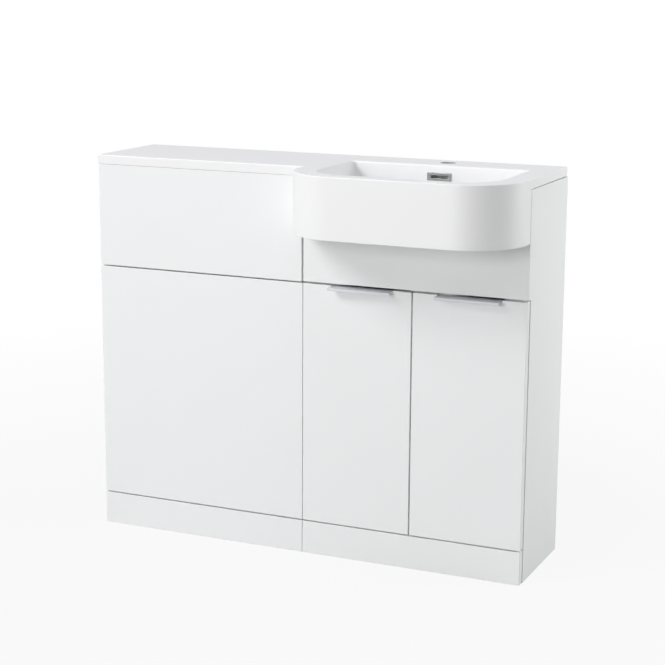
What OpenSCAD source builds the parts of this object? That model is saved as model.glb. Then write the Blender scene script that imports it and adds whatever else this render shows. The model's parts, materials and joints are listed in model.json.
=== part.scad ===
// Back-to-wall toilet cabinet and basin cabinet joined side by side under one cast top.
// Millimetres. +X runs to the right, +Y to the wall, +Z up. The origin is on the floor,
// midway across the width and midway between the basin's front and the wall.

/* [Cabinets] */
// Width of the toilet cabinet on the left
wc_w = 500; // [460:5:600]
// Width of the basin cabinet on the right
vanity_w = 500; // [490:5:600]
// Depth of both cabinets from the face of the fronts to the wall
unit_d = 255; // [245:1:330]
// Height from the floor to the underside of the top
body_h = 830; // [820:1:880]
// Thickness of the carcass boards
board_t = 18; // [16:1:19]
// Thickness of doors, panels, fascia and plinths
front_t = 18; // [16:1:22]
// Gap between the back of a front and the edges of the carcass
front_gap = 1.5; // [1.5:0.1:2.5]
// Height of the carcass rails
rail_h = 80; // [70:1:90]

/* [Fronts] */
// Height of the plinth
plinth_h = 72; // [60:1:90]
// Height of the row of upper fronts, from the line above the doors to the underside of the top
upper_h = 226; // [210:1:240]
// Gap between neighbouring fronts
reveal = 3; // [2:0.1:4]
// Gap above the doors, under the fascia
door_top_gap = 4.5; // [3:0.1:6]
// Shadow gap between the upper fronts and the top
top_gap = 0.5; // [0.5:0.5:4]

/* [Top and basin] */
// Thickness of the cast top
top_t = 20; // [18:1:28]
// Overhang of the top past each end of the cabinets
top_over = 1; // [0.5:0.5:3]
// Space between the back of the top and the wall
top_short = 11; // [0:0.5:15]
// Gap between the top and the cabinet's side at the basin's end
end_gap = 0.8; // [0.5:0.1:1.5]
// How far the basin stands out in front of the fronts
basin_proj = 145; // [120:1:170]
// Height of the basin's front apron, from its foot to the top face
basin_h = 130; // [115:1:150]
// Radius of the apron's two front corners
basin_r = 125; // [100:1:140]
// Thickness of the apron wall
apron_t = 12; // [8:1:15]
// Gap between the apron and the fascia
apron_gap = 1; // [0.3:0.1:1.5]
// Width of the rim left and right of the bowl
rim_side = 46; // [35:1:50]
// Width of the rim in front of the bowl
rim_front = 40; // [30:1:50]
// Depth of the ledge behind the bowl
ledge_d = 96; // [80:1:105]
// Depth of the bowl from the top face to its floor
bowl_depth = 108; // [95:1:112]
// Thickness of the bowl's wall
bowl_t = 10; // [8:1:12]
// Lean of the bowl's side walls from upright
bowl_lean = 22; // [12:1:24]
// Radius of the bowl's front corners
bowl_front_r = 80; // [60:1:90]
// Radius of the bowl's back corners
bowl_back_r = 8; // [6:1:20]
// Diameter of the tap hole
tap_d = 35; // [32:0.5:37]
// Distance of the tap hole's centre from the back of the top
tap_back = 43; // [38:1:50]
// Diameter of the waste hole
waste_d = 45; // [42:1:48]

/* [Overflow] */
// Width of the overflow cover
cover_w = 55; // [45:1:65]
// Height of the overflow cover
cover_h = 18; // [16:1:20]
// Thickness of the overflow cover
cover_t = 3; // [2:0.5:4]
// Drop from the top face to the centre of the cover's slot
cover_drop = 25; // [24:0.5:26]
// Width of the cover's slot
slot_w = 42; // [36:1:44]
// Height of the cover's slot
slot_h = 7; // [5:0.5:8]

/* [Handles] */
// Length of a door handle
handle_l = 140; // [120:1:150]
// How far a handle stands out from its door
handle_proj = 20; // [12:1:30]
// Height of a handle's front lip
lip_h = 6; // [5:0.5:9]
// Sheet thickness of a handle
handle_t = 1.2; // [1:0.1:1.2]
// Height of the leg that is screwed to the back of the door
leg_h = 28; // [26:1:32]
// Drop from the top edge of the door to the top face of the handle
handle_drop = 1.5; // [1:0.1:2.5]
// Offset of the left handle from the middle of its door, towards the other door
handle_shift_left = 11; // [0:1:15]
// Offset of the right handle from the middle of its door, towards the other door
handle_shift_right = 0; // [0:1:15]

/* [Hinges] */
// Distance of a hinge from the top or the foot of its door
hinge_inset = 100; // [85:1:110]
// Diameter of the hinge cup
cup_d = 35; // [33:0.5:36]
// Depth of the hinge cup in the door
cup_depth = 12.5; // [12:0.1:13]
// Distance of the cup's centre from the door's outer edge
cup_inset = 22.5; // [22:0.1:23.5]
// Distance of the mounting plate's screws from the front edge of the carcass
plate_setback = 37; // [35:1:40]

/* [Interior] */
// Height of the underside of the loose shelf
shelf_z = 330; // [250:1:400]
// Setback of the shelf from the front edge of the carcass
shelf_setback = 25; // [20:1:60]
// Diameter of the shelf pins
shelf_pin_d = 5; // [4:0.5:6]

/* [Hidden] */
$fn = 48;

// Clearances
fit_c = 0.05;       // round piece in its hole
side_c = 0.5;       // shelf to carcass, leg to notch
bumper_c = 0.1;     // bumper to carcass
edge_c = 1.5;       // door or fixed front to the outer face of its carcass side
seam_c = 0.5;       // fixed lower front or plinth to the seam between the cabinets
access_c = 2.5;     // access panel to the seam, room to pull it off
cut_c = 4;          // bowl to the cut-out in the fascia
eps = 0.01;         // overshoot of a cutting solid

// Planes across the depth
face_y = (basin_proj - unit_d) / 2;
back_y = face_y + unit_d;
basin_y = face_y - basin_proj;
front_back_y = face_y + front_t;
carcass_y = front_back_y + front_gap;

// Planes across the width
seam_x = (wc_w - vanity_w) / 2;
wc_x = seam_x - wc_w;
vanity_x = seam_x + vanity_w;
wc_in = [wc_x + board_t, seam_x - board_t];
vanity_in = [seam_x + board_t, vanity_x - board_t];

// Heights
top_z = body_h + top_t;
split_z = body_h - upper_h;
lower_z = plinth_h + reveal;
upper_z = split_z + reveal / 2;
lower_top = upper_z - door_top_gap;
access_z = lower_top + reveal;
upper_top = body_h - top_gap;
base_z = lower_z;
foot_z = top_z - basin_h;
floor_z = top_z - bowl_depth;

// Fronts of the basin cabinet
vanity_front = [seam_x + edge_c, vanity_x - edge_c];
vanity_mid = (vanity_front[0] + vanity_front[1]) / 2;
door_w = (vanity_front[1] - vanity_front[0] - reveal) / 2;
wc_front = [wc_x + edge_c, seam_x - access_c];
wc_lower_front = [wc_x + edge_c, seam_x - seam_c];
vanity_plinth_front = [seam_x + seam_c, vanity_x - edge_c];

// Rails: [first x, last x, front y, foot z, height, side of the board that the cams are in]
top_rail_z = body_h - rail_h;
stop_lap = 18;      // lap of the front rail behind the tops of the doors
wc_rails = [
  [wc_in[0], wc_in[1], carcass_y, top_rail_z, rail_h, 1],
  [wc_in[0], wc_in[1], back_y - board_t, top_rail_z, rail_h, -1],
  [wc_in[0], wc_in[1], carcass_y, split_z - rail_h / 2, rail_h, 1],
  [wc_in[0], wc_in[1], carcass_y, lower_z - rail_h / 2, rail_h, 1]
];
vanity_rails = [
  [vanity_in[0], vanity_in[1], carcass_y, lower_top - stop_lap, rail_h, 1],
  [vanity_in[0], vanity_in[1], back_y - board_t, top_rail_z, rail_h, -1],
  [vanity_in[0], vanity_in[1], back_y - board_t, base_z + board_t, rail_h, -1],
  [vanity_in[0], vanity_in[1], carcass_y, 0, base_z, 1]
];
base_fix_in = 45;   // bolt of the base from the front and back edges of the carcass
base_fix_y = [carcass_y + base_fix_in, back_y - base_fix_in];

// Knock-down fittings: cam, bolt and dowel
cam_r = 7.5;
cam_deep = 12.5;
cam_in = 34;        // cam centre from the end of the board
bolt_r = 3;
bolt_head_r = 3.4;
bolt_deep = 11;     // thread in the side
dowel_r = 4;
dowel_deep = 10;    // dowel in the side
dowel_l = 30;
fix_apart = 32;     // bolt to dowel on one joint

// Push-in studs that hold the fixed fronts and the access panel
stud_r = 3;
stud_l = 13;
spigot_r = 4;
spigot_l = 10;
collar_r = 7;
socket_r = 5;
socket_l = 15;
stud_in = 90;       // stud from the outside of its cabinet
stud_edge = 20;     // stud from the long edge of its front
upper_stud_z = [upper_z + stud_edge, top_rail_z + rail_h / 2];
fascia_stud_z = upper_z + stud_edge + 10;
lower_stud_z = [lower_z + stud_edge, lower_top - stud_edge];
plinth_stud_drop = 25; // studs of a plinth from the foot of the lower fronts
plinth_stud_z = lower_z - plinth_stud_drop;
wc_stud_x = [wc_x + stud_in, seam_x - stud_in];
vanity_stud_x = [seam_x + stud_in, vanity_x - stud_in];
access_studs = [for (x = wc_stud_x, z = upper_stud_z) [x, z]];
fixed_studs = concat(
  [for (x = wc_stud_x, z = lower_stud_z) [x, z]],
  [for (x = concat(wc_stud_x, vanity_stud_x)) [x, plinth_stud_z]],
  [for (x = vanity_stud_x) [x, fascia_stud_z]]);

// Basin
top_back_y = back_y - top_short;
basin_x = [seam_x, vanity_x + top_over];
fascia_front = [vanity_front[0], basin_x[1]];
bowl_x = [basin_x[0] + rim_side, basin_x[1] - rim_side];
bowl_y = [basin_y + rim_front, top_back_y - ledge_d];
bowl_mid = (bowl_x[0] + bowl_x[1]) / 2;
bowl_straight = 50; // part of the bowl's back wall below the top face that is upright
function lean_at(z) = (top_z + 1 - z) * tan(bowl_lean);
waste_y = (bowl_y[0] + bowl_y[1]) / 2 + 12;
// Bowl sections: [height, inset left and right, inset front, inset back, front r, back r]
bowl_cut = [
  [top_z + 1, 0, 0, 0, bowl_front_r, bowl_back_r],
  [top_z - bowl_straight, lean_at(top_z - bowl_straight), 6, 0, bowl_front_r, bowl_back_r + 4],
  [floor_z + 26, lean_at(floor_z + 26), 13, 3, bowl_front_r - 4, bowl_back_r + 10],
  [floor_z + 12, lean_at(floor_z + 12) + 2, 22, 9, bowl_front_r - 10, bowl_back_r + 18],
  [floor_z + 4, lean_at(floor_z + 4) + 9, 34, 21, bowl_front_r - 20, bowl_back_r + 22],
  [floor_z, lean_at(floor_z) + 24, 52, 40, bowl_front_r - 30, bowl_back_r + 24]
];

// Overflow
cover_z = top_z - cover_drop;
pass_w = 40;        // passage through the bowl's wall
pass_h = 8;
elbow_wall = 3;
elbow_d = 16;
elbow_h = 26;
spout_r = 10;
spout_bore = 8;
spout_l = 28;

// Hinges: u runs from the door's outer edge over the door, v from the door's face inwards
hinge_z = [lower_z + hinge_inset, lower_top - hinge_inset];
side_u = board_t - edge_c;
rim_v = front_t;
cup_wall = 2;
flange_t = 1;
flange_r = cup_d / 2 + 1.5;
cup_screw_u = cup_inset + 9.5;
cup_screw_z = 22.5;
pin_u = 32;
pin_v = front_t + 5;
pin_r = 1.5;
barrel_r = 2.6;
link_l = 25;
link_t = 1.6;
link_h = 10;
link_a = 32;        // slope of the link towards the door's face when the door is shut
lug_t = 1.5;
arm_u = side_u + 4;
arm_v = [front_t + 15, front_t + front_gap + plate_setback + 27];
arm_w = 10;
arm_h = 15;
arm_t = 1.5;
plate_t = 3;
plate_v = front_t + front_gap + plate_setback;
plate_half = 24;
ridge_h = 10;
ridge_l = [18, 26];  // ridge in front of the plate's screws and behind them
plate_screw_z = 16;

// Screws
screw_r = 1.75;
screw_head_r = 3.4;
screw_head_t = 1.2;

// Small parts
bumper_r = 4;
bumper_in = 9;      // bumper from the door's meeting edge and from the board that it meets
pin_hole_l = 10;    // shelf pin in the side
pin_out_l = 8;
shelf_pin_in = 35;  // shelf pin from the shelf's front and back edges
connector_r = 4;
connector_head_r = 8;
connector_head_t = 1.5;
connector_in = 35;  // connector from the front and back edges of the carcass
connector_low = 55; // lower connectors from the foot of the lower fronts
connector_high = 70; // upper connectors from the split line
connector_y = [carcass_y + connector_in, back_y - connector_in];
connector_z = [lower_z + connector_low, split_z + connector_high];
bracket_t = 2;
bracket_w = 30;
bracket_h = 40;
bracket_top = top_rail_z - 10;
bracket_hole_r = 3.25;
bracket_screw_in = 18; // screws of a bracket from the wall
bracket_screw_edge = 10; // screws of a bracket from its top and foot
bracket_side_x = [wc_in[0], wc_in[1], vanity_in[0], vanity_in[1]];

board_white = [0.95, 0.95, 0.95];
cast_white = [0.93, 0.93, 0.93];
steel = [0.72, 0.72, 0.74];
satin = [0.8, 0.8, 0.81];
plastic = [0.88, 0.88, 0.86];
timber = [0.8, 0.66, 0.45];

function inward(end) = end == 0 ? 1 : -1;

module block(x, y, z) {
  translate([x[0], y[0], z[0]]) cube([x[1] - x[0], y[1] - y[0], z[1] - z[0]]);
}

module rod_x(x, y, z, r) {
  translate([x[0], y, z]) rotate([0, 90, 0]) cylinder(h = x[1] - x[0], r = r);
}

module rod_y(x, y, z, r) {
  translate([x, y[1], z]) rotate([90, 0, 0]) cylinder(h = y[1] - y[0], r = r);
}

module rod_z(x, y, z, r) {
  translate([x, y, z[0]]) cylinder(h = z[1] - z[0], r = r);
}

// One end of a rail, with x running into the rail from the joint
module at_rail_end(rail, end) {
  translate([rail[end], rail[2] + board_t / 2, rail[3] + rail[4] / 2])
    mirror([end, 0, 0]) children();
}

// One fixing point of the base, with x running into the base from the joint
module at_base_end(end, y) {
  translate([vanity_in[end], y, base_z + board_t / 2]) mirror([end, 0, 0]) children();
}

module cam_bolt() {
  rod_x([-bolt_deep, cam_in - cam_r], 0, 0, bolt_r);
  rod_x([cam_in - cam_r, cam_in - 2], 0, 0, bolt_head_r);
}

module bolt_hole() {
  rod_x([-bolt_deep, 0], 0, 0, bolt_r + fit_c);
  rod_x([-eps, cam_in], 0, 0, bolt_head_r + fit_c);
}

// Cam at the bolt's head, with its open face towards +Y
module cam(grow) {
  rod_y(cam_in, [board_t / 2 - cam_deep, board_t / 2 + grow], 0, cam_r - fit_c + grow);
}

module cam_piece() {
  difference() {
    cam(0);
    rod_x([0, cam_in], 0, 0, bolt_head_r + fit_c);
  }
}

module dowel(grow) {
  rod_x([-dowel_deep - grow, dowel_l - dowel_deep + grow], 0, 0, dowel_r + grow);
}

module face_of(side) {
  mirror([0, side < 0 ? 1 : 0, 0]) children();
}

module rail_holes(rail) {
  for (end = [0, 1]) at_rail_end(rail, end) {
    translate([0, 0, fix_apart / 2]) {
      bolt_hole();
      face_of(rail[5]) cam(fit_c);
    }
    translate([0, 0, -fix_apart / 2]) dowel(fit_c);
  }
}

module base_holes() {
  for (end = [0, 1], y = base_fix_y) {
    at_base_end(end, y) {
      bolt_hole();
      rotate([-90, 0, 0]) cam(fit_c);
    }
    at_base_end(end, y + fix_apart) dowel(fit_c);
  }
}

module rail(spec) {
  difference() {
    block([spec[0], spec[1]], [spec[2], spec[2] + board_t], [spec[3], spec[3] + spec[4]]);
    rail_holes(spec);
    stud_holes(concat(access_studs, fixed_studs), socket_r + fit_c, [carcass_y, carcass_y + socket_l]);
  }
}

module stud_holes(studs, r, y) {
  for (s = studs) rod_y(s[0], y, s[1], r);
}

module stud(s) {
  rod_y(s[0], [front_back_y - spigot_l, front_back_y], s[1], spigot_r);
  rod_y(s[0], [front_back_y, carcass_y], s[1], collar_r);
  rod_y(s[0], [carcass_y, carcass_y + stud_l], s[1], stud_r);
}

module spigot_holes(studs) {
  stud_holes(studs, spigot_r + fit_c, [front_back_y - spigot_l - fit_c, front_back_y + eps]);
}

module front(x, z, studs) {
  color(board_white) difference() {
    block(x, [face_y, front_back_y], z);
    spigot_holes(studs);
  }
}

module carcass_side(x0, rails, top = body_h) {
  difference() {
    block([x0, x0 + board_t], [carcass_y, back_y], [0, top]);
    for (r = rails) rail_holes(r);
    children();
  }
}

module connector_holes() {
  for (y = connector_y, z = connector_z)
    rod_x([seam_x - board_t - eps, seam_x + board_t + eps], y, z, connector_r + fit_c);
}

module shelf_pin_holes() {
  for (y = shelf_pin_y()) for (end = [0, 1])
    translate([vanity_in[end], 0, 0]) mirror([end, 0, 0])
      rod_x([-pin_hole_l - fit_c, eps], y, shelf_z - shelf_pin_d / 2, shelf_pin_d / 2 + fit_c);
}

function shelf_y() = [carcass_y + shelf_setback, back_y - board_t - 2];
function shelf_pin_y() = [shelf_y()[0] + shelf_pin_in, shelf_y()[1] - shelf_pin_in];

// Toilet cabinet
module wc_side_left() {
  color(board_white) carcass_side(wc_x, wc_rails) bracket_screw_holes();
}

module wc_side_right() {
  color(board_white) carcass_side(seam_x - board_t, wc_rails) {
    connector_holes();
    bracket_screw_holes();
  }
}

module wc_upper_panel() {
  front(wc_front, [access_z, upper_top], access_studs);
}

module wc_lower_panel() {
  front(wc_lower_front, [lower_z, lower_top], fixed_studs);
}

module wc_plinth() {
  front(wc_lower_front, [0, plinth_h], fixed_studs);
}

module upper_panel_studs() {
  color(plastic) for (s = access_studs) stud(s);
}

module fixed_front_studs() {
  color(plastic) for (s = fixed_studs) stud(s);
}

module stud_sockets() {
  studs = concat(access_studs, fixed_studs);
  color(plastic) difference() {
    stud_holes(studs, socket_r, [carcass_y, carcass_y + socket_l - fit_c]);
    stud_holes(studs, stud_r + fit_c, [carcass_y - eps, carcass_y + stud_l + 1]);
  }
}

// Basin cabinet
module vanity_side_left() {
  color(board_white) carcass_side(seam_x, vanity_rails) {
    base_holes();
    connector_holes();
    shelf_pin_holes();
    bracket_screw_holes();
    at_doors(0) plate_screw_holes();
  }
}

module vanity_side_right() {
  color(board_white) carcass_side(vanity_x - board_t, vanity_rails, body_h - end_gap) {
    base_holes();
    shelf_pin_holes();
    bracket_screw_holes();
    at_doors(1) plate_screw_holes();
  }
}

module vanity_base() {
  color(board_white) difference() {
    block(vanity_in, [carcass_y, back_y], [base_z, base_z + board_t]);
    base_holes();
  }
}

module vanity_fascia() {
  color(board_white) difference() {
    block(fascia_front, [face_y, front_back_y], [upper_z, upper_top]);
    block([bowl_x[0] - bowl_t - cut_c, bowl_x[1] + bowl_t + cut_c],
      [face_y - 1, front_back_y + 1], [floor_z - bowl_t - cut_c, upper_top + 1]);
    spigot_holes(fixed_studs);
  }
}

module vanity_plinth() {
  front(vanity_plinth_front, [0, plinth_h], fixed_studs);
}

module shelf() {
  color(board_white)
    block([vanity_in[0] + side_c, vanity_in[1] - side_c], shelf_y(), [shelf_z, shelf_z + board_t]);
}

module shelf_pins() {
  color(steel) for (y = shelf_pin_y(), end = [0, 1])
    translate([vanity_in[end], 0, 0]) mirror([end, 0, 0])
      rod_x([-pin_hole_l, pin_out_l], y, shelf_z - shelf_pin_d / 2, shelf_pin_d / 2);
}

// Doors: side 0 is the left door, side 1 the right one, hinged at their outer edges
module at_doors(side) {
  translate([vanity_front[side], face_y, 0]) mirror([side, 0, 0]) children();
}

module at_hinges() {
  for (z = hinge_z) translate([0, 0, z]) children();
}

function handle_u(side) = door_w / 2 + (side == 0 ? handle_shift_left : handle_shift_right);
function handle_span(side) = [handle_u(side) - handle_l / 2, handle_u(side) + handle_l / 2];
handle_top = lower_top - handle_drop;
handle_screw_z = lower_top - stop_lap - screw_head_r - 1;
handle_screw_apart = handle_l / 2 - 20;

module handle_screw_holes(side) {
  for (i = [-1, 0, 1])
    rod_y(handle_u(side) + i * handle_screw_apart, [front_t - 12, front_t + 3], handle_screw_z,
      screw_r + fit_c);
}

module door(side) {
  color(board_white) at_doors(side) difference() {
    block([0, door_w], [0, front_t], [lower_z, lower_top]);
    block(handle_span(side) + [-side_c, side_c], [-1, front_t + 1],
      [handle_top - handle_t, lower_top + 1]);
    handle_screw_holes(side);
    at_hinges() {
      rod_y(cup_inset, [front_t - cup_depth, front_t + eps], 0, cup_d / 2 + fit_c);
      for (i = [-1, 1])
        rod_y(cup_screw_u, [front_t - 12, front_t + 1], i * cup_screw_z, screw_r + fit_c);
    }
  }
}

module handle(side) {
  span = handle_span(side);
  color(satin) at_doors(side) difference() {
    union() {
      block(span, [-handle_proj, front_t + handle_t], [handle_top - handle_t, handle_top]);
      block(span, [-handle_proj, -handle_proj + handle_t], [handle_top - lip_h, handle_top]);
      block(span, [front_t, front_t + handle_t], [handle_top - leg_h, handle_top]);
    }
    handle_screw_holes(side);
  }
}

module handle_screws(side) {
  color(steel) at_doors(side) for (i = [-1, 0, 1])
    screw_y(handle_u(side) + i * handle_screw_apart, front_t + handle_t, handle_screw_z, 12);
}

// Screw along Y with the underside of its head at y and its point towards -Y
module screw_y(x, y, z, l) {
  rod_y(x, [y - l, y + eps], z, screw_r);
  rod_y(x, [y, y + screw_head_t], z, screw_head_r);
}

module hinge_cups(side) {
  color(steel) at_doors(side) at_hinges() difference() {
    union() {
      rod_y(cup_inset, [front_t - cup_depth + fit_c, front_t], 0, cup_d / 2);
      rod_y(cup_inset, [front_t, front_t + flange_t], 0, flange_r);
      block([cup_inset + 2, cup_screw_u + 6], [front_t, front_t + flange_t], [-30, 30]);
    }
    rod_y(cup_inset, [front_t - cup_depth + 1, front_t + flange_t + 1], 0, cup_d / 2 - cup_wall);
    for (i = [-1, 1])
      rod_y(cup_screw_u, [front_t - 1, front_t + flange_t + 1], i * cup_screw_z, screw_r + fit_c);
  }
}

module cup_screws(side) {
  color(steel) at_doors(side) at_hinges() for (i = [-1, 1])
    screw_y(cup_screw_u, front_t + flange_t, i * cup_screw_z, 11);
}

module hinge_links(side) {
  color(steel) at_doors(side) at_hinges() translate([pin_u, pin_v, -link_h / 2]) difference() {
    union() {
      cylinder(h = link_h, r = barrel_r);
      rotate([0, 0, 180 + link_a]) translate([0, -link_t / 2, 0]) cube([link_l, link_t, link_h]);
    }
    translate([0, 0, -1]) cylinder(h = link_h + 2, r = pin_r + fit_c);
  }
}

module arm_lug() {
  linear_extrude(lug_t) difference() {
    union() {
      translate([pin_u, pin_v]) circle(barrel_r);
      polygon([
        [pin_u - barrel_r, pin_v + 1], [pin_u + barrel_r, pin_v],
        [arm_u + arm_w, arm_v[0] + 8], [arm_u, arm_v[0] + 8], [arm_u, arm_v[0]]
      ]);
    }
    translate([pin_u, pin_v]) circle(pin_r);
  }
}

module hinge_arms() {
  color(steel) for (side = [0, 1]) at_doors(side) at_hinges() {
    lug_z = link_h / 2 + 0.4;
    translate([0, 0, lug_z]) arm_lug();
    translate([0, 0, -lug_z - lug_t]) arm_lug();
    difference() {
      block([arm_u, arm_u + arm_w], arm_v, [-arm_h / 2, arm_h / 2]);
      block([arm_u - 1, arm_u + arm_w - arm_t], [arm_v[0] - 1, arm_v[1] + 1],
        [-lug_z, lug_z]);
    }
  }
}

module hinge_pins() {
  color(steel) for (side = [0, 1]) at_doors(side) at_hinges()
    rod_z(pin_u, pin_v, [-arm_h / 2, arm_h / 2], pin_r);
}

// Mounting plate on the side, with the ridge that the arm clips over
module hinge_plates() {
  ridge_top = arm_u + arm_w - arm_t;
  color(steel) for (side = [0, 1]) at_doors(side) at_hinges() difference() {
    union() {
      block([side_u, side_u + plate_t], [plate_v - 10, plate_v + 10], [-plate_half, plate_half]);
      block([side_u, ridge_top], [plate_v - ridge_l[0], plate_v + ridge_l[1]], [-ridge_h / 2, ridge_h / 2]);
    }
    for (i = [-1, 1])
      rod_x([side_u - 1, side_u + plate_t + 1], plate_v, i * plate_screw_z, screw_r + fit_c);
  }
}

module plate_screw_holes() {
  at_hinges() for (i = [-1, 1])
    rod_x([side_u - 12, side_u + 1], plate_v, i * plate_screw_z, screw_r + fit_c);
}

module plate_screws() {
  color(steel) for (side = [0, 1]) at_doors(side) at_hinges() for (i = [-1, 1]) {
    rod_x([side_u - 11, side_u + plate_t + eps], plate_v, i * plate_screw_z, screw_r);
    rod_x([side_u + plate_t, side_u + plate_t + screw_head_t], plate_v, i * plate_screw_z,
      screw_head_r);
  }
}

module door_bumpers(side) {
  color(plastic) at_doors(side)
    for (z = [base_z + bumper_in, lower_top - bumper_in])
      rod_y(door_w - bumper_in, [front_t, front_t + front_gap - bumper_c], z, bumper_r);
}

// Cast top with the basin
module basin_outline(inset) {
  r = basin_r - inset;
  x = [basin_x[0] + inset, basin_x[1] - inset];
  y = basin_y + inset;
  translate([x[0] + r, y]) square([x[1] - x[0] - 2 * r, r]);
  translate([x[0], y + r]) square([x[1] - x[0], face_y - y - r + eps]);
  for (cx = [x[0] + r, x[1] - r]) translate([cx, y + r]) circle(r, $fn = 96);
}

// Horizontal slice of the bowl, grown by a wall
module bowl_slice(s, wall) {
  x = [bowl_x[0] + s[1] - wall, bowl_x[1] - s[1] + wall];
  y = [bowl_y[0] + s[2] - wall, bowl_y[1] - s[3] + wall];
  rf = s[4] + wall;
  rb = s[5] + wall;
  translate([0, 0, s[0]]) linear_extrude(eps) {
    for (cx = [x[0] + rf, x[1] - rf]) translate([cx, y[0] + rf]) circle(rf, $fn = 48);
    for (cx = [x[0] + rb, x[1] - rb]) translate([cx, y[1] - rb]) circle(rb, $fn = 32);
  }
}

module bowl_hollow() {
  hull() for (s = bowl_cut) bowl_slice(s, 0);
}

module bowl_shell() {
  intersection() {
    translate([0, 0, -bowl_t]) hull() for (s = bowl_cut) bowl_slice(s, bowl_t);
    block([wc_x, vanity_x], [basin_y, back_y], [0, body_h + eps]);
  }
}

module apron() {
  translate([0, 0, foot_z]) linear_extrude(basin_h - eps) intersection() {
    difference() {
      basin_outline(0);
      basin_outline(apron_t);
    }
    translate([basin_x[0], basin_y]) square([basin_x[1] - basin_x[0], basin_proj - apron_gap]);
  }
}

module basin_top() {
  color(cast_white) difference() {
    union() {
      block([wc_x - top_over, basin_x[1]], [face_y, top_back_y], [body_h, top_z]);
      translate([0, 0, body_h]) linear_extrude(top_t) basin_outline(0);
      apron();
      bowl_shell();
    }
    bowl_hollow();
    rod_z(bowl_mid, top_back_y - tap_back, [body_h - 1, top_z + 1], tap_d / 2);
    rod_z(bowl_mid, waste_y, [floor_z - bowl_t - 5, floor_z + 1], waste_d / 2);
    block([bowl_mid - pass_w / 2, bowl_mid + pass_w / 2], [bowl_y[1] - 1, bowl_y[1] + bowl_t + 5],
      [cover_z - pass_h / 2, cover_z + pass_h / 2]);
  }
}

module overflow_cover() {
  color(satin) difference() {
    block([bowl_mid - cover_w / 2, bowl_mid + cover_w / 2], [bowl_y[1] - cover_t, bowl_y[1]],
      [cover_z - cover_h / 2, cover_z + cover_h / 2]);
    block([bowl_mid - slot_w / 2, bowl_mid + slot_w / 2], [bowl_y[1] - cover_t - 1, bowl_y[1] + 1],
      [cover_z - slot_h / 2, cover_z + slot_h / 2]);
  }
}

// Hollow elbow behind the bowl that leads the overflow down to a hose
module overflow_elbow() {
  y = bowl_y[1] + bowl_t;
  z = cover_z + pass_h / 2 + 0.5;
  half = pass_w / 2 + elbow_wall;
  mid_y = y + elbow_d / 2 + 2;
  color(plastic) difference() {
    union() {
      block([bowl_mid - half, bowl_mid + half], [y, y + elbow_d + elbow_wall], [z - elbow_h, z]);
      rod_z(bowl_mid, mid_y, [z - elbow_h - spout_l, z - elbow_h + eps], spout_r);
    }
    block([bowl_mid - pass_w / 2, bowl_mid + pass_w / 2], [y - 1, y + elbow_d],
      [z - elbow_h + elbow_wall, z - 0.5]);
    rod_z(bowl_mid, mid_y, [z - elbow_h - spout_l - 1, z], spout_bore);
  }
}

// Bolts that pull the two cabinets together
module unit_connectors() {
  color(steel) for (y = connector_y, z = connector_z) {
    rod_x([seam_x - board_t - eps, seam_x + board_t + eps], y, z, connector_r);
    for (s = [-1, 1]) translate([seam_x + s * (board_t + connector_head_t / 2), y, z])
      rotate([0, 90, 0]) cylinder(h = connector_head_t, r = connector_head_r, center = true);
  }
}

// Wall brackets: one in each back corner, with x running inwards from the side
module at_brackets() {
  for (i = [0 : 3]) translate([bracket_side_x[i], 0, 0]) mirror([i % 2, 0, 0]) children();
}

bracket_screw_y = back_y - bracket_screw_in;
bracket_screw_z = [bracket_top - bracket_screw_edge, bracket_top - bracket_h + bracket_screw_edge];

module bracket_screw_holes() {
  at_brackets() for (z = bracket_screw_z)
    rod_x([-12, bracket_t + 1], bracket_screw_y, z, screw_r + fit_c);
}

module wall_brackets() {
  z = [bracket_top - bracket_h, bracket_top];
  color(steel) difference() {
    at_brackets() {
      block([0, bracket_t], [back_y - bracket_w, back_y], z);
      block([0, bracket_w], [back_y - bracket_t, back_y], z);
    }
    bracket_screw_holes();
    at_brackets()
      rod_y(bracket_w / 2 + 3, [back_y - bracket_t - 1, back_y + 1], bracket_top - bracket_h / 2,
        bracket_hole_r);
  }
}

module bracket_screws() {
  color(steel) at_brackets() for (z = bracket_screw_z) {
    rod_x([-11, bracket_t + eps], bracket_screw_y, z, screw_r);
    rod_x([bracket_t, bracket_t + screw_head_t], bracket_screw_y, z, screw_head_r);
  }
}

// Knock-down fittings of all rails and the base
module each_rail_end() {
  for (r = concat(wc_rails, vanity_rails), end = [0, 1]) {
    $side = r[5];
    at_rail_end(r, end) children();
  }
}

module cams() {
  color(steel) {
    each_rail_end() translate([0, 0, fix_apart / 2]) face_of($side) cam_piece();
    for (end = [0, 1], y = base_fix_y) at_base_end(end, y) rotate([-90, 0, 0]) cam_piece();
  }
}

module cam_bolts() {
  color(steel) {
    each_rail_end() translate([0, 0, fix_apart / 2]) cam_bolt();
    for (end = [0, 1], y = base_fix_y) at_base_end(end, y) cam_bolt();
  }
}

module dowels() {
  color(timber) {
    each_rail_end() translate([0, 0, -fix_apart / 2]) dowel(0);
    for (end = [0, 1], y = base_fix_y) at_base_end(end, y + fix_apart) dowel(0);
  }
}

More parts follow.
